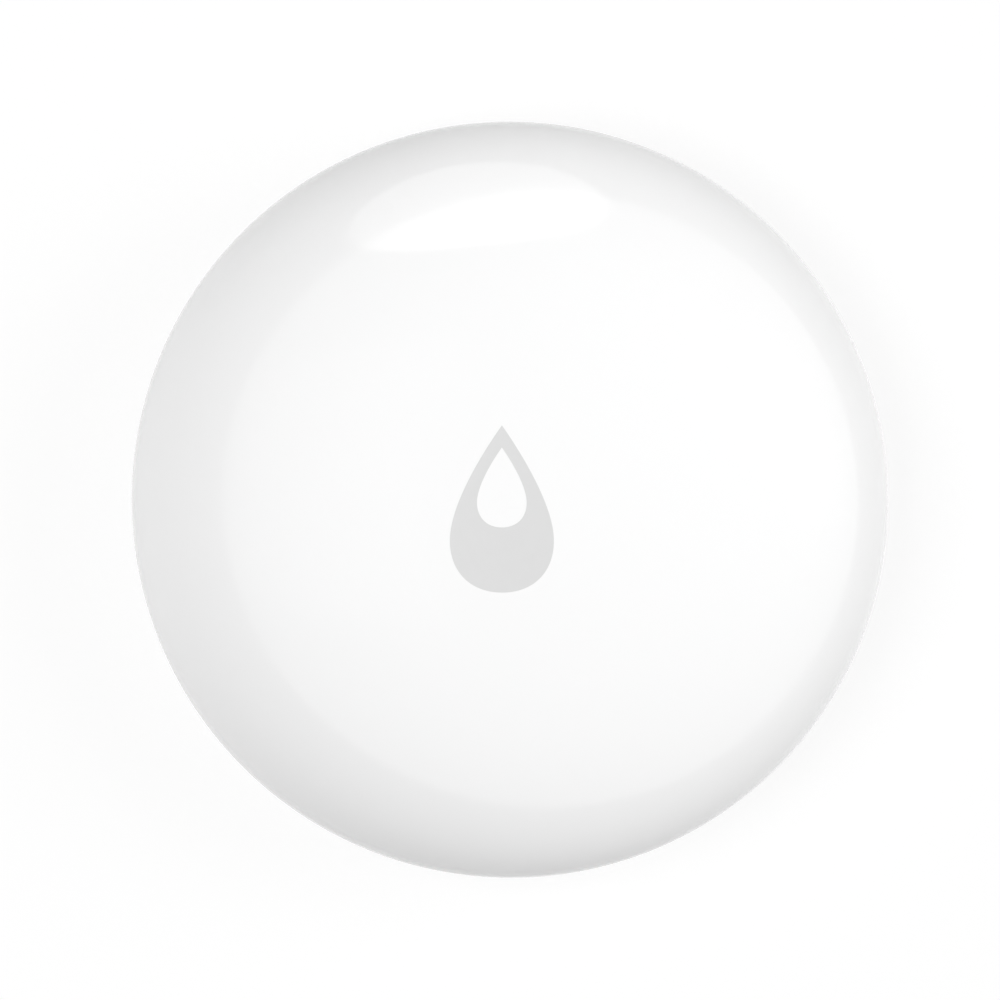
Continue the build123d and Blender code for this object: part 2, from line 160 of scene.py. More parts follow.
# color: linear grey or rgb. Sizes are in mm. toneAmount and smudge: spread of colour and of roughness.
# grainSize and grainDepth: fine relief. brush: how the grain is stretched.
# ringPitch: turning marks of a lathe.
finishLooks = {
    "domeWhite": {"color": 0.93, "roughness": 0.075, "toneSize": 30, "toneAmount": 0.003, "smudge": 0.01,
                  "grainSize": 1.6, "grainDepth": 0.0004, "edgeRadius": 0.08},
    "signInk": {"color": 0.672, "roughness": 0.30, "toneSize": 0.8, "toneAmount": 0.006, "grainSize": 0.06,
                "grainDepth": 0.0006, "edgeRadius": 0},
    "baseWhite": {"color": 0.86, "roughness": 0.42, "toneSize": 12, "grainSize": 0.12, "grainDepth": 0.004},
    "coverWhite": {"color": 0.85, "roughness": 0.48, "toneSize": 9, "toneAmount": 0.012, "grainSize": 0.16,
                   "grainDepth": 0.006},
    "lidNatural": {"color": (0.78, 0.78, 0.755), "roughness": 0.45, "toneSize": 10, "toneAmount": 0.015,
                   "grainSize": 0.2, "grainDepth": 0.004},
    "silicone": {"color": (0.72, 0.735, 0.75), "roughness": 0.5, "toneSize": 3, "toneAmount": 0.02,
                 "grainSize": 0.15, "grainDepth": 0.003, "sheen": 0.15},
    "sealRubber": {"color": 0.035, "roughness": 0.5, "toneSize": 2, "toneAmount": 0.2, "smudge": 0.08,
                   "grainSize": 0.1, "grainDepth": 0.004},
    "clearGuide": {"color": 0.96, "roughness": 0.05, "ior": 1.49, "transmission": 1.0, "toneSize": 3,
                   "toneAmount": 0.004, "smudge": 0.02, "grainSize": 0.5, "grainDepth": 0.0005,
                   "edgeRadius": 0},
    "chipBlack": {"color": 0.035, "roughness": 0.46, "toneSize": 0.7, "toneAmount": 0.15, "grainSize": 0.05,
                  "grainDepth": 0.003},
    "tin": {"color": (0.72, 0.72, 0.70), "roughness": 0.28, "metallic": 1.0, "toneSize": 0.6,
            "toneAmount": 0.05, "smudge": 0.08, "grainSize": 0.12, "grainDepth": 0.002, "edgeRadius": 0.02},
    "copperTrack": {"color": (0.80, 0.50, 0.30), "roughness": 0.32, "metallic": 1.0, "toneSize": 1.5,
                    "toneAmount": 0.06, "smudge": 0.07, "grainSize": 0.1, "edgeRadius": 0.01},
    "ceramicTan": {"color": (0.47, 0.36, 0.25), "roughness": 0.55, "toneSize": 0.5, "toneAmount": 0.08,
                   "grainSize": 0.06, "grainDepth": 0.002},
    "ledResin": {"color": (0.86, 0.82, 0.55), "roughness": 0.2, "toneSize": 0.5, "toneAmount": 0.02,
                 "grainSize": 0.1, "grainDepth": 0.0005, "edgeRadius": 0.03},
    "steel": {"color": (0.66, 0.66, 0.65), "roughness": 0.3, "metallic": 1.0, "toneSize": 4,
              "toneAmount": 0.03, "smudge": 0.06, "grainSize": 0.15, "ringPitch": 0.12},
    "nickel": {"color": (0.74, 0.72, 0.68), "roughness": 0.2, "metallic": 1.0, "toneSize": 2,
               "toneAmount": 0.04, "smudge": 0.06, "brush": (0.2, 1, 1)},
    "brass": {"color": (0.78, 0.60, 0.30), "roughness": 0.26, "metallic": 1.0, "toneSize": 1.5,
              "toneAmount": 0.05, "smudge": 0.06, "grainSize": 0.1, "ringPitch": 0.1},
    "boardMask": {"color": (0.02, 0.16, 0.075), "roughness": 0.3, "toneSize": 3, "toneAmount": 0.1,
                  "grainSize": 0.4, "grainDepth": 0.002},
    "boardMaskRaised": {"color": (0.03, 0.21, 0.10), "roughness": 0.28, "toneSize": 3, "toneAmount": 0.1,
                        "grainSize": 0.4, "grainDepth": 0.002, "edgeRadius": 0.01},
    "boardInk": {"color": 0.82, "roughness": 0.5, "toneSize": 0.5, "toneAmount": 0.02, "grainSize": 0.05,
                 "edgeRadius": 0},
}


texture = {
    "toneRange": (0.3, 0.7),   # the part of the noise over which one tone turns into the other
    "smudgeScale": 0.45,       # smudges are this much smaller than the changes of tone
    "leastRoughness": 0.02,
    "detail": 3.0,
    "fineDetail": 4.0,
    "ringWobble": 0.4,
    "edgeSamples": 6,
}


def makeFinish(name, color, roughness, metallic=0.0, ior=1.5, toneSize=6.0, toneAmount=0.01, smudge=0.03,
               grainSize=0.3, grainDepth=0.001, edgeRadius=0.05, ringPitch=0.0, brush=(1, 1, 1), sheen=0.0,
               transmission=0.0):
    rgb = (color, color, color) if isinstance(color, float) else color
    material = bpy.data.materials.new(name)
    material.use_nodes = True
    tree = material.node_tree
    link = tree.links.new
    shader = tree.nodes["Principled BSDF"]
    shader.inputs["Metallic"].default_value = metallic
    shader.inputs["IOR"].default_value = ior
    shader.inputs["Sheen Weight"].default_value = sheen
    shader.inputs["Transmission Weight"].default_value = transmission
    place = tree.nodes.new("ShaderNodeTexCoord").outputs["Object"]

    def noise(size, detail=texture["detail"], stretch=(1, 1, 1)):
        scaled = tree.nodes.new("ShaderNodeMapping")
        scaled.inputs["Scale"].default_value = tuple(s / (size * mm) for s in stretch)
        link(place, scaled.inputs["Vector"])
        node = tree.nodes.new("ShaderNodeTexNoise")
        node.inputs["Scale"].default_value = 1.0
        node.inputs["Detail"].default_value = detail
        link(scaled.outputs["Vector"], node.inputs["Vector"])
        return node.outputs["Fac"]

    tone = tree.nodes.new("ShaderNodeValToRGB")
    tone.color_ramp.elements[0].position, tone.color_ramp.elements[1].position = texture["toneRange"]
    tone.color_ramp.elements[0].color = tuple(max(0.0, c * (1 - toneAmount)) for c in rgb) + (1,)
    tone.color_ramp.elements[1].color = tuple(min(1.0, c * (1 + toneAmount)) for c in rgb) + (1,)
    link(noise(toneSize), tone.inputs["Fac"])
    link(tone.outputs["Color"], shader.inputs["Base Color"])

    gloss = tree.nodes.new("ShaderNodeMapRange")
    gloss.inputs["To Min"].default_value = max(texture["leastRoughness"], roughness - smudge)
    gloss.inputs["To Max"].default_value = roughness + smudge
    link(noise(toneSize * texture["smudgeScale"], texture["fineDetail"]), gloss.inputs["Value"])
    link(gloss.outputs["Result"], shader.inputs["Roughness"])

    relief = noise(grainSize, texture["fineDetail"], brush)
    if ringPitch:
        period = 20  # radians, as the wave texture counts its rings
        rings = tree.nodes.new("ShaderNodeTexWave")
        rings.wave_type = "RINGS"
        rings.rings_direction = "Z"
        rings.inputs["Scale"].default_value = 2 * math.pi / (period * ringPitch * mm)
        rings.inputs["Distortion"].default_value = texture["ringWobble"]
        link(place, rings.inputs["Vector"])
        both = tree.nodes.new("ShaderNodeMath")
        both.operation = "ADD"
        link(relief, both.inputs[0])
        link(rings.outputs["Fac"], both.inputs[1])
        relief = both.outputs["Value"]
    bump = tree.nodes.new("ShaderNodeBump")
    bump.inputs["Strength"].default_value = 1.0
    bump.inputs["Distance"].default_value = grainDepth * mm
    link(relief, bump.inputs["Height"])
    if edgeRadius:  # moulded parts have no knife edges
        edge = tree.nodes.new("ShaderNodeBevel")
        edge.samples = texture["edgeSamples"]
        edge.inputs["Radius"].default_value = edgeRadius * mm
        link(edge.outputs["Normal"], bump.inputs["Normal"])
    link(bump.outputs["Normal"], shader.inputs["Normal"])
    return material


finishes = {name: makeFinish(name, **look) for name, look in finishLooks.items()}

nodeFinish = {
    "domeWhite": ["dome_cap"],
    "baseWhite": ["base_shell"],
    "coverWhite": ["battery_cover"],
    "lidNatural": ["inner_cover"],
    "silicone": ["chamber_gasket", "button_membrane", "cell_grommet"],
    "clearGuide": ["light_guide"],
    "boardMask": ["circuit_board"],
    "chipBlack": ["radio_chip", "switch_body", "switch_plunger"],
    "nickel": ["crystal", "switch_frame", "contact_positive", "contact_negative"],
    "ceramicTan": ["board_passives"],
    "copperTrack": ["board_antenna"],
    "ledResin": ["status_led"],
    "steel": ["board_screws", "cell_can", "cell_cap", "probe_left", "probe_right"],
    "sealRubber": ["cover_seal", "probe_seals"],
    "brass": ["probe_standoffs"],
}
for finish, names in nodeFinish.items():
    for name in names:
        nodes[name].data.materials.clear()
        nodes[name].data.materials.append(finishes[finish])
print("finishes:", len(finishes))


# the printed drop sign on the dome

dome = {
    "top": 15.0,
    "radius": 25.0,
    "widestAt": 5.4,
    "crownReach": 14.5,
    "shoulderAt": 12.0,
}
sign = {
    "halfWidth": 3.36,
    "height": 10.81,
    "widestShare": 0.689,   # from the tip down
    "tipAngle": 35.3,
    "tipHandle": 0.62,
    "sideHandle": 0.69,
    "bowlHandle": 0.605,
    "windowScale": 0.477,
    "windowTip": 1.43,      # below the sign's tip
    "inkThickness": 0.005,
    "inkSink": 0.012,       # the ink's underside lies this deep in the dome
    "outlineSteps": 64,
    "acrossSteps": 8,
}


def bezier(a, b, c, d, t):
    return tuple(
        (1 - t) ** 3 * p + 3 * (1 - t) ** 2 * t * q + 3 * (1 - t) * t ** 2 * r + t ** 3 * s
        for p, q, r, s in zip(a, b, c, d)
    )


def domeHeight(radius):
    # height of the crown's curve at a radius, in mm, found by halving
    crown = [
        (0, dome["top"]),
        (dome["crownReach"], dome["top"]),
        (dome["radius"], dome["shoulderAt"]),
        (dome["radius"], dome["widestAt"]),
    ]
    low, high = 0.0, 1.0
    halvings = 40
    for _ in range(halvings):
        t = (low + high) / 2
        low, high = (t, high) if bezier(*crown, t)[0] < radius else (low, t)
    return bezier(*crown, t)[1]


def dropOutline(scale, tipY):
    # right flank, bowl and their mirror image, from the tip round to the tip
    w = sign["halfWidth"] * scale
    h = sign["height"] * scale
    wide = tipY - h * sign["widestShare"]
    lean = math.radians(sign["tipAngle"])
    handle = w * sign["tipHandle"]
    flank = [
        (0, tipY),
        (handle * math.sin(lean), tipY - handle * math.cos(lean)),
        (w, wide + w * sign["sideHandle"]),
        (w, wide),
    ]
    bowl = [
        (w, wide),
        (w, wide - w * sign["bowlHandle"]),
        (w * sign["bowlHandle"], tipY - h),
        (0, tipY - h),
    ]
    steps = sign["outlineSteps"]
    half = [bezier(*flank, i / steps) for i in range(steps)]
    half += [bezier(*bowl, i / steps) for i in range(steps)]
    return half + [(0, tipY - h)] + [(-x, y) for x, y in reversed(half[1:])]


def makeSign():
    tipY = sign["height"] / 2
    outer = dropOutline(1.0, tipY)
    inner = dropOutline(sign["windowScale"], tipY - sign["windowTip"])
    bm = bmesh.new()
    across = sign["acrossSteps"]
    layers = []
    for lift in (sign["inkThickness"], -sign["inkSink"]):
        rows = []
        for i in range(across + 1):
            s = i / across
            row = []
            for (x0, y0), (x1, y1) in zip(inner, outer):
                x = x0 + (x1 - x0) * s
                y = y0 + (y1 - y0) * s
                z = domeHeight(math.hypot(x, y)) + lift
                row.append(bm.verts.new((x * mm, y * mm, z * mm)))
            rows.append(row)
        layers.append(rows)
    count = len(outer)
    top, under = layers
    for i in range(count):
        j = (i + 1) % count
        for a in range(across):
            bm.faces.new([top[a][i], top[a][j], top[a + 1][j], top[a + 1][i]])
            bm.faces.new([under[a][i], under[a + 1][i], under[a + 1][j], under[a][j]])
        bm.faces.new([top[0][j], top[0][i], under[0][i], under[0][j]])
        bm.faces.new([top[across][i], top[across][j], under[across][j], under[across][i]])
    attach(makeObject("dropSign", bm, finishes["signInk"]), "cap")


makeSign()
print("sign printed")


# rubber pieces: round-edged rings and the membrane, in place of the plain solids

rubber = {
    # wall: how thick the ring is across, in mm. roundness: 1 is an oval section, less is squarer.
    "coverRing": {"node": "cover_seal", "wall": 0.76, "roundness": 0.8, "steps": 160},
    "probeRing": {"node": "probe_seals", "wall": 0.75, "roundness": 0.8, "steps": 48},
    "gasket": {"node": "chamber_gasket", "wall": 1.2, "roundness": 0.35, "steps": 160},
    "sectionSteps": 24,
}
membrane = {
    # heights and radii in mm
    "bossRadii": (1.6, 1.8, 1.9, 1.7),  # from the foot up to the top
    "bossFoot": 0.3,                    # above the lip's foot
    "lipRadii": (2.95, 3.35),
    "shoulder": 2.75,
    "web": (9.6, 9.85),                 # the thin dish that bends
    "flange": (9.9, 10.3),
    "cornerRadius": 0.12,
    "steps": 96,
}
grommet = {
    "innerRadius": 8.9,
    "lipWidth": 0.25,
    "lipFoot": 0.15,       # both measured down from the top
    "shoulderDrop": 0.45,
    "cornerRadius": 0.06,
    "steps": 96,
}
probeHeadRadius = 2.6


def boxMm(node):
    low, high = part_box(node)
    return Vector(low) / mm, Vector(high) / mm


def sealSection(spec):
    # an O-ring's section as its groove squeezes it: between an oval and a rounded square
    low, high = boxMm(spec["node"])
    outer = (high.y - low.y) / 2
    middle = outer - spec["wall"] / 2
    section = []
    for i in range(rubber["sectionSteps"]):
        a = 2 * math.pi * i / rubber["sectionSteps"]
        c, s = math.cos(a), math.sin(a)
        across = math.copysign(abs(c) ** spec["roundness"], c)
        upward = math.copysign(abs(s) ** spec["roundness"], s)
        height = (low.z + high.z) / 2 + (high.z - low.z) / 2 * upward
        section.append((middle + spec["wall"] / 2 * across, height))
    return section


def makeSeal(name, spec, finish, body, centres=((0, 0),)):
    bm = bmesh.new()
    for centre in centres:
        lathe(bm, sealSection(spec), spec["steps"], centre)
    obj = makeObject(name, bm, finishes[finish])
    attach(obj, body)
    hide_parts(spec["node"])


def makeMembrane():
    low, high = boxMm("button_membrane")
    bossFoot, bossLow, bossHigh, bossTop = membrane["bossRadii"]
    lipInner, lip = membrane["lipRadii"]
    webLow, webHigh = membrane["web"]
    flangeLow, flangeTop = membrane["flange"]
    foot = low.z + membrane["bossFoot"]
    outline = [
        (0, foot), (bossFoot, foot), (bossLow, webLow), (lipInner, webLow), (lipInner, low.z), (lip, low.z),
        (lip, flangeLow), (high.x, flangeLow), (high.x, flangeTop), (lipInner, flangeTop),
        (membrane["shoulder"], webHigh), (bossHigh, webHigh), (bossTop, high.z), (0, high.z),
    ]
    bm = bmesh.new()
    lathe(bm, roundedProfile(outline, membrane["cornerRadius"]), membrane["steps"])
    obj = makeObject("membraneMoulding", bm, finishes["silicone"])
    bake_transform(obj)
    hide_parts("button_membrane")


def makeGrommet():
    low, high = boxMm("cell_grommet")
    inner = grommet["innerRadius"]
    lip = inner + grommet["lipWidth"]
    outline = [
        (inner, low.z), (high.x, low.z), (high.x, high.z - grommet["shoulderDrop"]),
        (lip, high.z - grommet["lipFoot"]), (lip, high.z), (inner, high.z),
    ]
    bm = bmesh.new()
    lathe(bm, roundedProfile(outline, grommet["cornerRadius"]), grommet["steps"])
    obj = makeObject("cellGrommetRing", bm, finishes["silicone"])
    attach(obj, "base")
    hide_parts("cell_grommet")


probeX = boxMm("probe_right")[1].x - probeHeadRadius
bothProbes = ((-probeX, 0), (probeX, 0))
makeSeal("coverSealRing", rubber["coverRing"], "sealRubber", "seal")
makeSeal("chamberGasketRing", rubber["gasket"], "silicone", "base")
makeSeal("probeSealRings", rubber["probeRing"], "sealRubber", "base", bothProbes)
makeMembrane()
makeGrommet()
print("rubber pieces made")


# screws: turned heads with their drive cut in, and real threads

threadBreak = 50  # degrees: the flanks of a thread are shaded as one
boardScrew = {
    # head: (radius, height) points from where it starts. Other heights are in mm from the floor.
    "head": [(0, 0), (1.5, 0), (1.5, 0.42), (1.32, 0.7), (0.8, 0.87), (0, 0.9)],
    "headFrom": 7.2,
    "rounding": 0.08,
    "steps": 48,
    "shank": {"crest": 0.75, "root": 0.58, "start": 7.25, "tip": 3.2, "pitch": 0.5, "runout": 0.7},
    "crossLength": 1.7,
    "crossWidth": 0.34,
    "crossDepth": 0.5,
    "circle": 16.2,
    "angles": (90, 210, 330),
}
probeScrew = {
    "head": [(0, 0), (2.45, 0), (probeHeadRadius, 0.15), (probeHeadRadius, 0.6), (0, 0.6)],
    "rounding": 0.05,
    "steps": 96,
    "shank": {"crest": 1.0, "root": 0.82, "start": 1.9, "tip": 5.9, "pitch": 0.4, "runout": 0.4},
    "neckRadius": 1.0,
    "neckOverlap": 0.05,
    "slotLength": 3.4,
    "slotWidth": 0.7,
    "slotDepth": 0.3,
}


def addThread(bm, spec, centre):
    # one helical ridge, from the height where the shank starts to its tip, where the thread runs out
    length = abs(spec["tip"] - spec["start"])
    way = math.copysign(1, spec["tip"] - spec["start"])
    around = 28
    perTurn = 10       # rings of corners along one pitch
    along = int(length / spec["pitch"] * perTurn)
    rootTaper = 0.2    # the core narrows by this share where the thread runs out
    rings = []
    for k in range(along + 1):
        travel = length * k / along
        depth = min(1.0, (length - travel) / spec["runout"])
        ring = []
        for i in range(around):
            phase = (travel / spec["pitch"] + way * i / around) % 1
            ridge = 1 - abs(2 * phase - 1)
            core = spec["root"] * (1 - rootTaper * (1 - depth))
            r = core + (spec["crest"] - spec["root"]) * ridge * depth
            a = 2 * math.pi * i / around
            place = (centre[0] + r * math.cos(a), centre[1] + r * math.sin(a), spec["start"] + way * travel)
            ring.append(bm.verts.new(Vector(place) * mm))
        rings.append(ring)
    for low, high in zip(rings, rings[1:]):
        for i in range(around):
            j = (i + 1) % around
            bm.faces.new([low[i], low[j], high[j], high[i]])
    bm.faces.new(rings[0])
    bm.faces.new(rings[-1])


def cutWith(obj, bm):
    # cuts the closed shapes in bm out of obj
    bmesh.ops.recalc_face_normals(bm, faces=bm.faces)
    mesh = bpy.data.meshes.new("cutter")
    bm.to_mesh(mesh)
    bm.free()
    cutter = bpy.data.objects.new("cutter", mesh)
    bpy.context.scene.collection.objects.link(cutter)
    cut = obj.modifiers.new("cut", "BOOLEAN")
    cut.operation = "DIFFERENCE"
    cut.solver = "EXACT"
    cut.object = cutter
    graph = bpy.context.evaluated_depsgraph_get()
    result = bpy.data.meshes.new_from_object(obj.evaluated_get(graph))
    obj.modifiers.clear()
    obj.data = result
    bpy.data.objects.remove(cutter)
    obj.data.shade_smooth()
    obj.data.set_sharp_from_angle(angle=math.radians(sharpAngle))


def placeScrew(pieces, node):
    for piece in pieces:
        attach(piece, "base")
        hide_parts(node)


def makeBoardScrews():
    heads, crosses, threads = bmesh.new(), bmesh.new(), bmesh.new()
    profile = [(r, z + boardScrew["headFrom"]) for r, z in boardScrew["head"]]
    top = profile[-1][1]
    depth = boardScrew["crossDepth"]
    for angle in boardScrew["angles"]:
        a = math.radians(angle)
        centre = (boardScrew["circle"] * math.cos(a), boardScrew["circle"] * math.sin(a))
        lathe(heads, roundedProfile(profile, boardScrew["rounding"]), boardScrew["steps"], centre)
        cross = crossOutline(boardScrew["crossLength"], boardScrew["crossWidth"], centre, angle)
        addPrism(crosses, cross, top - depth, top + depth)
        addThread(threads, boardScrew["shank"], centre)
    head = makeObject("boardScrewHeads", heads, finishes["steel"])
    cutWith(head, crosses)
    threaded = makeObject("boardScrewThreads", threads, finishes["steel"], threadBreak)
    placeScrew([head, threaded], "board_screws")


def makeProbe(name, node, x):
    # drawn about its own axis, so that the turning marks run round it
    head, slot, thread = bmesh.new(), bmesh.new(), bmesh.new()
    neck = probeScrew["neckRadius"]
    top = probeScrew["head"][-1][1]
    neckTop = probeScrew["shank"]["start"] + probeScrew["neckOverlap"]
    outline = probeScrew["head"][:-1] + [(neck, top), (neck, neckTop), (0, neckTop)]
    lathe(head, roundedProfile(outline, probeScrew["rounding"]), probeScrew["steps"])
    slotSize = (probeScrew["slotLength"], probeScrew["slotWidth"], 2 * probeScrew["slotDepth"])
    addBox(slot, (0, 0, 0), slotSize)
    addThread(thread, probeScrew["shank"], (0, 0))
    screw = makeObject(name, head, finishes["steel"])
    cutWith(screw, slot)
    threaded = makeObject(name + "Thread", thread, finishes["steel"], threadBreak)
    for piece in (screw, threaded):
        piece.location.x = x * mm
    placeScrew([screw, threaded], node)


makeBoardScrews()
makeProbe("probeLeftScrew", "probe_left", -probeX)
makeProbe("probeRightScrew", "probe_right", probeX)
print("screws cut and threaded")


# the board: soldered ends, pads, tracks, vias and white print without words

board = {
    "padThickness": 0.03,
    "trackThickness": 0.018,
    "inkThickness": 0.02,
    "inkWidth": 0.15,
    "trackWidth": 0.25,
    "proud": 0.002,                # steps, so that no two faces share a plane
    "viaProud": 0.008,             # vias stand above every track
    "bendSteps": 12,               # round pads at a track's corners and ends
    "viaSteps": 16,
    "chipPads": 8,                 # on each side
    "chipPadSize": (0.22, 0.42),
    "chipPadTuck": 0.1,            # how far the pads reach under the chip
    "chipPadSpan": 0.8,            # share of the side that they take up
    "passiveSize": (1.0, 0.5),
    "endCap": 0.24,
    "bodyGap": 0.04,               # a passive's body is this much smaller than its end caps
    "bodyEdge": 0.03,              # bevels of a passive's body and of its end caps
    "endEdge": 0.05,
    "passivePadSize": (0.5, 0.6),
    "passivePadReach": 0.55,
    # how far the pads reach past the piece, and their size
    "partPads": {"crystal": (0.35, (0.49, 0.72)), "status_led": (0.3, (0.42, 0.64)),
                 "switch_body": (0.4, (0.56, 0.8))},
    "longSide": 2,                 # a piece with a longer side has a pad at each end of it
    "padInset": 0.625,             # share of a pad's length from the piece's end to the pad's middle
    "testPointX": (-12.6, -11.1, -9.6, -8.1),
    "testPointY": 7.4,
    "testPointRadius": 0.45,
    "viaRadius": 0.26,
    "printMargins": {"switch_body": 0.5, "radio_chip": 0.6, "crystal": 0.8},
    "passiveMark": (0.35, 0.45),   # half its length, and how far it is from the middle
    "standoffRing": 1.9,
    "cornerPlus": (1.4, 0.3, (13.0, 8.6)),
    "printLine": [(-1.3, 6.5), (1.3, 6.5)],
    # the tracks' corners, as (x, y)
    "routes": [
        [(-5.2, -1.2), (-3.6, -1.2), (-3.6, -3.6), (3.9, -3.6), (4.3, -4.0), (5.3, -4.0)],
        [(-5.2, -2.6), (-4.4, -2.6), (-4.4, -5.6), (5.3, -5.6)],
        [(-5.2, -3.8), (-5.2, -8.6), (-5.9, -9.4), (-5.6, -12.2)],
        [(-5.2, 0.1), (-4.2, 1.1), (-4.2, 6.3), (-3.9, 7.3)],
        [(-8.6, 1.4), (-8.6, 2.8)],
        [(3.9, 8.0), (5.4, 8.0), (6.9, 6.5), (7.3, 6.3)],
        [(8.7, 1.5), (10.2, 1.5), (13.2, -1.5), (13.2, -4.2), (12.4, -5.6)],
        [(8.7, 3.1), (10.8, 3.1), (14.4, -0.6), (14.4, -7.4)],
        [(-9.6, 7.4), (-10.8, 6.2), (-12.8, 6.2), (-12.8, -3.4), (-11.8, -4.6)],
        [(0.9, 7.2), (2.0, 7.2), (2.4, 7.8)],
    ],
}
passiveGroups = {
    # where the chip resistors and capacitors stand, in mm
    "block": {"start": (6.0, -4.0), "step": (1.7, -1.6), "columns": 4, "rows": 2},
    "column": {"start": (8.0, 1.5), "step": (0, 1.6), "columns": 1, "rows": 4},
    "pair": {"start": (-3.2, 8.0), "step": (6.4, 0), "columns": 2, "rows": 1},
}
passivePlaces = [
    (group["start"][0] + group["step"][0] * column, group["start"][1] + group["step"][1] * row)
    for group in passiveGroups.values() for column in range(group["columns"]) for row in range(group["rows"])
]
boardTop = boxMm("circuit_board")[1].z


def addTrack(bm, points, width, low, thickness):
    # a flat strip along points, with a round pad at every corner and end
    for (x0, y0), (x1, y1) in zip(points, points[1:]):
        length = math.hypot(x1 - x0, y1 - y0)
        turn = math.degrees(math.atan2(y1 - y0, x1 - x0))
        addBox(bm, ((x0 + x1) / 2, (y0 + y1) / 2, low), (length, width, 2 * thickness), turn=turn)
    for i, place in enumerate(points):
        top = low + thickness + board["proud"] * (1 + i % 2)
        addDisc(bm, place, width / 2, low - thickness, top, board["bendSteps"])


def addDisc(bm, place, radius, low, high, steps=24):
    lathe(bm, [(0, low), (radius, low), (radius, high), (0, high)], steps, place)


def addRing(bm, place, inner, width, low, high, steps=64):
    lathe(bm, [(inner, low), (inner + width, low), (inner + width, high), (inner, high)], steps, place)


def addFrame(bm, centre, size, width, low, thickness):
    x, y = size[0] / 2, size[1] / 2
    corners = [(-x, -y), (x, -y), (x, y), (-x, y), (-x, -y)]
    addTrack(bm, [(centre[0] + a, centre[1] + b) for a, b in corners], width, low, thickness)


def makePassives():
    bodies, ends = bmesh.new(), bmesh.new()
    low, high = boxMm("board_passives")
    height = high.z - low.z
    middle = low.z + height / 2
    length, width = board["passiveSize"]
    cap, gap = board["endCap"], board["bodyGap"]
    for x, y in passivePlaces:
        addBox(bodies, (x, y, middle), (length - cap, width - gap, height - gap), board["bodyEdge"])
        for side in (-1, 1):
            place = (x + side * (length - cap) / 2, y, middle)
            addBox(ends, place, (cap, width, height), board["endEdge"])
    for name, bm, finish, slot in (("passiveBodies", bodies, "ceramicTan", "ceramic_tan"),
                                   ("passiveEnds", ends, "tin", "nickel")):
        obj = makeObject(name, bm, finishes[finish])
        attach(obj, "base")
        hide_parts("board_passives")


def makePads():
    bm = bmesh.new()
    thick = board["padThickness"]
    height = boardTop + thick / 2
    chipLow, chipHigh = boxMm("radio_chip")
    middle = (chipLow + chipHigh) / 2
    side = chipHigh.x - chipLow.x
    wide, long = board["chipPadSize"]
    last = board["chipPads"] - 1
    pitch = side * board["chipPadSpan"] / last
    for i in range(board["chipPads"]):
        along = (i - last / 2) * pitch
        for edge in (-1, 1):
            reach = edge * (side / 2 + long / 2 - board["chipPadTuck"])
            addBox(bm, (middle.x + along, middle.y + reach, height), (wide, long, thick))
            addBox(bm, (middle.x + reach, middle.y + along, height), (long, wide, thick))
    for x, y in passivePlaces:
        for edge in (-1, 1):
            addBox(bm, (x + edge * board["passivePadReach"], y, height), (*board["passivePadSize"], thick))
    for node, (reach, size) in board["partPads"].items():
        low, high = boxMm(node)
        rows = [(low.y + high.y) / 2]
        if high.y - low.y > board["longSide"]:
            inset = size[1] * board["padInset"]
            rows = [low.y + inset, high.y - inset]
        for x in (low.x - reach / 2, high.x + reach / 2):
            for y in rows:
                addBox(bm, (x, y, height), (*size, thick))
    for x in board["testPointX"]:
        place = (x, board["testPointY"])
        addDisc(bm, place, board["testPointRadius"], boardTop - thick, boardTop + thick)
    obj = makeObject("boardPads", bm, finishes["tin"])
    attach(obj, "base")


def makeTracks():
    bm = bmesh.new()
    thick, width = board["trackThickness"], board["trackWidth"]
    for route in board["routes"]:
        addTrack(bm, route, width, boardTop, thick)
        for end in (route[0], route[-1]):
            top = boardTop + thick + board["viaProud"]
            addDisc(bm, end, board["viaRadius"], boardTop - thick, top, board["viaSteps"])
    obj = makeObject("boardTracks", bm, finishes["boardMaskRaised"])
    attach(obj, "base")


def makeBoardPrint():
    bm = bmesh.new()
    thick, width = board["inkThickness"], board["inkWidth"]
    for node, margin in board["printMargins"].items():
        low, high = boxMm(node)
        centre = ((low.x + high.x) / 2, (low.y + high.y) / 2)
        size = (high.x - low.x + 2 * margin, high.y - low.y + 2 * margin)
        addFrame(bm, centre, size, width, boardTop, thick)
    reach, aside = board["passiveMark"]
    for x, y in passivePlaces:
        for edge in (-1, 1):
            line = [(x - reach, y + edge * aside), (x + reach, y + edge * aside)]
            addTrack(bm, line, width, boardTop, thick)
    for centre in bothProbes:  # rings where the standoffs are soldered
        addRing(bm, centre, board["standoffRing"], width, boardTop - thick, boardTop + thick)
    addPrism(bm, crossOutline(*board["cornerPlus"]), boardTop - thick, boardTop + thick)
    addTrack(bm, board["printLine"], width, boardTop, thick)
    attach(makeObject("boardPrint", bm, finishes["boardInk"]), "base")


makePassives()
makePads()
makeTracks()
makeBoardPrint()
print("board detailed")


# marks moulded underneath: a pointer on the battery cover, an open and a closed lock beside it,
# and the cell's plus

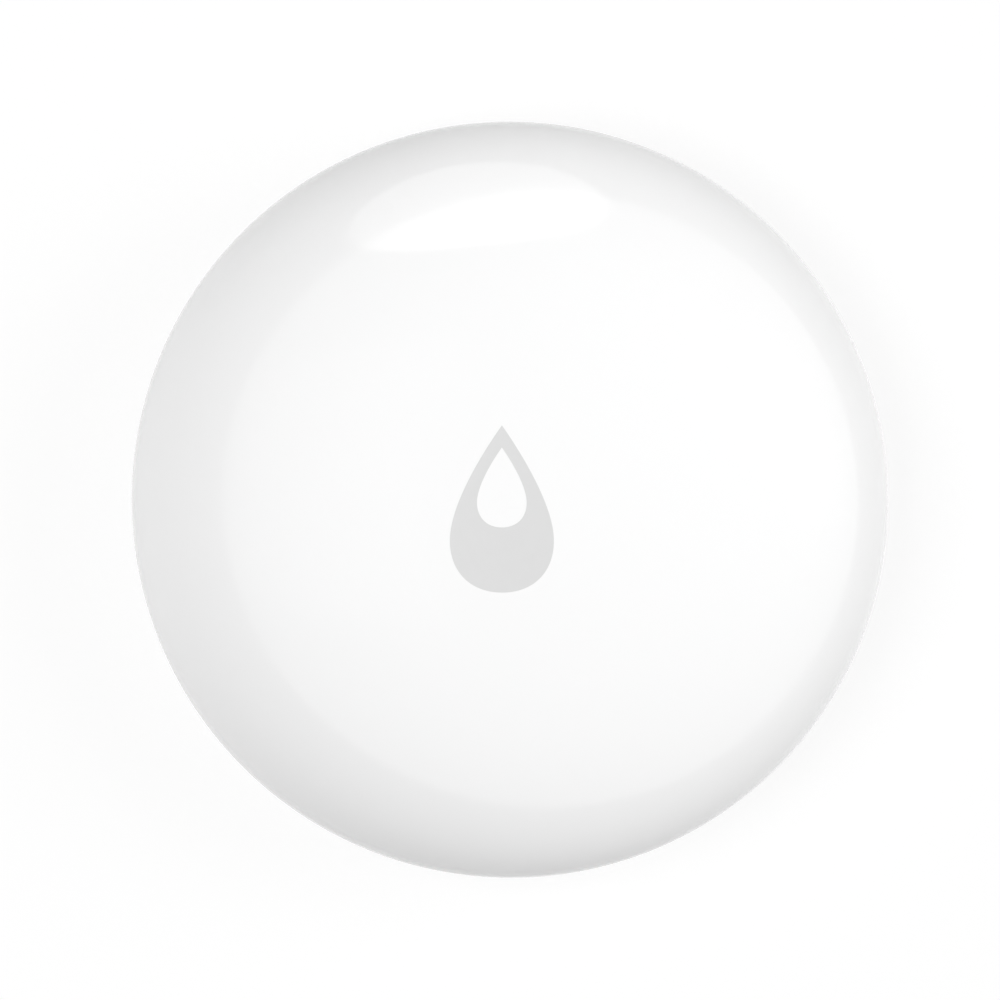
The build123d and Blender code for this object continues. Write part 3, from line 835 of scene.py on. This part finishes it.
marks = {
    "relief": 0.08,          # stays clear of the floor when the cover is let down
    "closedAngle": 70,       # seen from above, anticlockwise from +X
    "turnToOpen": 45,
    "lockRadius": 15.4,
    "lockSize": (1.5, 1.1),
    "shackleRadius": 0.5,
    "shackleLeg": 0.25,
    "shackleSink": 0.05,     # how far the legs run into the lock's body
    "openShift": 0.62,       # share of the lock's width that an open shackle stands aside
    "shackleSteps": 16,
    "strokeWidth": 0.25,
    "strokeStep": 0.02,      # strokes stand this much less proud than the forms that they run into
    "pointerRadius": 12.0,
    "pointerSize": (1.2, 0.75),  # length, and half its width
    "arrowRadius": 8.6,
    "arrowAngles": (62, 26),
    "arrowTip": (1.1, 0.7),
    "sink": 0.02,            # how far every mark reaches into what it stands on
    "plusSize": (3.0, 0.66),
    "plusRelief": 0.04,
}


def addArc(bm, centre, radius, width, start, end, low, high, steps=24):
    inner, outer = radius - width / 2, radius + width / 2
    corners = []
    for r, angles in ((outer, (start, end)), (inner, (end, start))):
        for i in range(steps + 1):
            a = math.radians(angles[0] + (angles[1] - angles[0]) * i / steps)
            corners.append((centre[0] + r * math.cos(a), centre[1] + r * math.sin(a)))
    addPrism(bm, corners, low, high)


def turnedCorners(corners, angle, radius):
    # corners drawn about a point on +X, swung to an angle. Their +X points away from the middle.
    a = math.radians(angle)
    c, s = math.cos(a), math.sin(a)
    return [((x + radius) * c - y * s, (x + radius) * s + y * c) for x, y in corners]


def addLock(bm, angle, opened, low, high):
    wide, tall = marks["lockSize"]
    body = [(-tall, -wide / 2), (0, -wide / 2), (0, wide / 2), (-tall, wide / 2)]
    addPrism(bm, turnedCorners(body, angle, marks["lockRadius"]), low, high)
    inner = marks["shackleRadius"] - marks["strokeWidth"] / 2
    outer = marks["shackleRadius"] + marks["strokeWidth"] / 2
    leg, sink = marks["shackleLeg"], marks["shackleSink"]
    shift = wide * marks["openShift"] if opened else 0
    steps = marks["shackleSteps"]
    arc = [math.radians(-90 + 180 * i / steps) for i in range(steps + 1)]
    shackle = [(leg + outer * math.cos(t), shift + outer * math.sin(t)) for t in arc]
    if not opened:  # both legs reach the body
        shackle += [(-sink, shift + outer), (-sink, shift + inner)]
    shackle += [(leg + inner * math.cos(t), shift + inner * math.sin(t)) for t in reversed(arc)]
    shackle += [(-sink, shift - inner), (-sink, shift - outer)]
    addPrism(bm, turnedCorners(shackle, angle, marks["lockRadius"]), low + marks["strokeStep"], high)


def makeMarks():
    face = boxMm("battery_cover")[0].z
    low, high = face - marks["relief"], face + marks["sink"]
    closed = marks["closedAngle"]
    onBase = bmesh.new()
    addLock(onBase, closed, False, low, high)
    addLock(onBase, closed - marks["turnToOpen"], True, low, high)
    onCover = bmesh.new()
    long, half = marks["pointerSize"]
    pointer = [(0, 0), (-long, half), (-long, -half)]
    addPrism(onCover, turnedCorners(pointer, closed, marks["pointerRadius"]), low, high)
    start, end = marks["arrowAngles"]
    radius = marks["arrowRadius"]
    addArc(onCover, (0, 0), radius, marks["strokeWidth"], start, end, low + marks["strokeStep"], high)
    long, half = marks["arrowTip"]
    tip = [(half, 0), (-half, 0), (0, -long)]
    addPrism(onCover, turnedCorners(tip, end, radius), low, high)
    for name, bm, finish, body, slot in (("lockMarks", onBase, "baseWhite", "base", "base_white"),
                                         ("coverPointer", onCover, "coverWhite", "cover", "cover_white")):
        obj = makeObject(name, bm, finishes[finish])
        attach(obj, body)
    cellFace = boxMm("cell_can")[0].z
    onCell = bmesh.new()
    plusLow, plusHigh = cellFace - marks["plusRelief"], cellFace + marks["sink"]
    addPrism(onCell, crossOutline(*marks["plusSize"]), plusLow, plusHigh)
    plus = makeObject("cellPlusMark", onCell, finishes["steel"])
    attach(plus, "base")


makeMarks()
print("moulded marks made")


# studio: floor, lamps, world and camera

studio = {
    "worldLight": 0.1,
    "floorRadius": 1200,
    "floorBounce": 0.8,        # the grey that lights the object from below
    "shadowDepth": 0.14,
    "shadowReach": (60, 200),  # mm from the middle: the shadow fades out between these
}
lamps = {
    # azimuth from the sign's tip, clockwise from above. Distance and size in mm.
    # forGloss: only seen as a reflection, where the others only give light.
    # glow: brighter over a part of its face.
    "topDisc": {"azimuth": -9, "elevation": 34, "distance": 600, "size": (468, 456), "round": True,
                "radiance": 1.15, "forGloss": True,
                "glow": {"way": (-0.44, 1, 0), "span": (0.2, 0.5), "gain": 1.55}},
    "overhead": {"azimuth": 91, "elevation": 70, "distance": 600, "size": (1860, 2850), "round": True,
                 "radiance": 0.85, "forGloss": True},
    "rightSoft": {"azimuth": 80, "elevation": 31, "distance": 600, "size": (350, 350), "radiance": 5.68},
    "leftHigh": {"azimuth": -90, "elevation": 65, "distance": 600, "size": (350, 350), "radiance": 6.2},
    "leftLow": {"azimuth": -45, "elevation": 16, "distance": 600, "size": (300, 250), "radiance": 1.13},
    "frontHigh": {"azimuth": 180, "elevation": 65, "distance": 600, "size": (350, 350), "radiance": 0.52},
}
view = {
    "leanRight": 2.86,       # degrees off the vertical
    "leanUp": 3.25,
    "distance": 400.0,
    "objectPixels": 756.8,   # mean width of the outline, of the picture's 1000
    "centrePixel": (509.0, 500.7),
    "pictureSide": 1000,
    "sensor": 36.0,
}


def seenRays(tree):
    # 1 for the rays that see the white studio: the camera's, and those off gloss or through glass
    rays = tree.nodes.new("ShaderNodeLightPath").outputs
    total = rays["Is Camera Ray"]
    for kind in ("Is Glossy Ray", "Is Transmission Ray"):
        node = tree.nodes.new("ShaderNodeMath")
        node.operation = "ADD"
        node.use_clamp = True
        tree.links.new(total, node.inputs[0])
        tree.links.new(rays[kind], node.inputs[1])
        total = node.outputs["Value"]
    return total


def makeFloor():
    material = bpy.data.materials.new("studioFloor")
    material.use_nodes = True
    tree = material.node_tree
    link = tree.links.new
    tree.nodes.clear()
    out = tree.nodes.new("ShaderNodeOutputMaterial")
    white = tree.nodes.new("ShaderNodeEmission")
    shaded = tree.nodes.new("ShaderNodeBsdfDiffuse")
    shaded.inputs["Color"].default_value = (1, 1, 1, 1)
    bounce = tree.nodes.new("ShaderNodeBsdfDiffuse")
    bounce.inputs["Color"].default_value = (studio["floorBounce"],) * 3 + (1,)
    place = tree.nodes.new("ShaderNodeTexCoord").outputs["Object"]
    length = tree.nodes.new("ShaderNodeVectorMath")
    length.operation = "LENGTH"
    link(place, length.inputs[0])
    fade = tree.nodes.new("ShaderNodeMapRange")
    fade.interpolation_type = "SMOOTHSTEP"
    fade.inputs["From Min"].default_value = studio["shadowReach"][0] * mm
    fade.inputs["From Max"].default_value = studio["shadowReach"][1] * mm
    fade.inputs["To Min"].default_value = studio["shadowDepth"]
    fade.inputs["To Max"].default_value = 0.0
    link(length.outputs["Value"], fade.inputs["Value"])
    pale = tree.nodes.new("ShaderNodeMixShader")
    link(fade.outputs["Result"], pale.inputs["Fac"])
    link(white.outputs["Emission"], pale.inputs[1])
    link(shaded.outputs["BSDF"], pale.inputs[2])
    both = tree.nodes.new("ShaderNodeMixShader")
    link(seenRays(tree), both.inputs["Fac"])
    link(bounce.outputs["BSDF"], both.inputs[1])
    link(pale.outputs["Shader"], both.inputs[2])
    link(both.outputs["Shader"], out.inputs["Surface"])

    bm = bmesh.new()
    bmesh.ops.create_circle(bm, cap_ends=True, segments=96, radius=studio["floorRadius"] * mm)
    floor = makeObject("floor", bm, material)


def addGlow(data, glow):
    # way runs across the lamp's face, and the light rises smoothly between the two ends of span
    data.use_nodes = True
    tree = data.node_tree
    link = tree.links.new
    across = tree.nodes.new("ShaderNodeVectorMath")
    across.operation = "DOT_PRODUCT"
    across.inputs[1].default_value = glow["way"]
    link(tree.nodes.new("ShaderNodeNewGeometry").outputs["Parametric"], across.inputs[0])
    rise = tree.nodes.new("ShaderNodeMapRange")
    rise.interpolation_type = "SMOOTHSTEP"
    rise.inputs["From Min"].default_value = glow["span"][0]
    rise.inputs["From Max"].default_value = glow["span"][1]
    rise.inputs["To Min"].default_value = 1.0
    rise.inputs["To Max"].default_value = glow["gain"]
    link(across.outputs["Value"], rise.inputs["Value"])
    link(rise.outputs["Result"], tree.nodes["Emission"].inputs["Strength"])


def makeLamp(name, spec):
    data = bpy.data.lights.new(name, "AREA")
    data.shape = "ELLIPSE" if spec.get("round") else "RECTANGLE"
    data.size = spec["size"][0] * mm
    data.size_y = spec["size"][1] * mm
    area = data.size * data.size_y * (math.pi / 4 if spec.get("round") else 1)
    data.energy = spec["radiance"] * area * math.pi
    if "glow" in spec:
        addGlow(data, spec["glow"])
    lamp = bpy.data.objects.new(name, data)
    a = math.radians(spec["azimuth"])
    e = math.radians(spec["elevation"])
    way = Vector((math.sin(a) * math.cos(e), math.cos(a) * math.cos(e), math.sin(e)))
    lamp.location = way * spec["distance"] * mm
    lamp.rotation_mode = "QUATERNION"
    lamp.rotation_quaternion = way.to_track_quat("Z", "Y")
    lamp.visible_camera = False
    lamp.visible_glossy = spec.get("forGloss", False)
    lamp.visible_diffuse = not lamp.visible_glossy
    bpy.context.scene.collection.objects.link(lamp)


def makeWorld():
    world = bpy.data.worlds.new("studioWhite")
    bpy.context.scene.world = world
    world.use_nodes = True
    tree = world.node_tree
    link = tree.links.new
    light = tree.nodes["Background"]
    light.inputs["Strength"].default_value = studio["worldLight"]
    light.inputs["Color"].default_value = (1, 1, 1, 1)
    backdrop = tree.nodes.new("ShaderNodeBackground")
    backdrop.inputs["Color"].default_value = (1, 1, 1, 1)
    backdrop.inputs["Strength"].default_value = 1.0
    mix = tree.nodes.new("ShaderNodeMixShader")
    link(seenRays(tree), mix.inputs["Fac"])
    link(light.outputs["Background"], mix.inputs[1])
    link(backdrop.outputs["Background"], mix.inputs[2])
    link(mix.outputs["Shader"], tree.nodes["World Output"].inputs["Surface"])


def makeCamera():
    data = bpy.data.cameras.new("camera")
    data.sensor_width = view["sensor"]
    perMm = view["objectPixels"] / (2 * dome["radius"])
    data.lens = view["sensor"] * view["distance"] * perMm / view["pictureSide"]
    camera = bpy.data.objects.new("camera", data)
    lean = [math.tan(math.radians(view[side])) for side in ("leanRight", "leanUp")]
    back = Vector((*lean, 1)).normalized()
    right = Vector((0, 1, 0)).cross(back).normalized()
    up = back.cross(right)
    middle = view["pictureSide"] / 2
    aside = (view["centrePixel"][0] - middle) / perMm
    above = (middle - view["centrePixel"][1]) / perMm
    target = Vector((0, 0, dome["widestAt"])) - right * aside - up * above
    camera.matrix_world = Matrix.Translation((target + back * view["distance"]) * mm) @ Matrix(
        (right, up, back)).transposed().to_4x4()
    data.clip_start = 0.01
    data.clip_end = 10
    bpy.context.scene.collection.objects.link(camera)
    bpy.context.scene.camera = camera


makeFloor()
for name, spec in lamps.items():
    makeLamp(name, spec)
makeWorld()
makeCamera()
bpy.context.scene.view_settings.view_transform = "Standard"
print("studio ready:", len(lamps), "lamps")
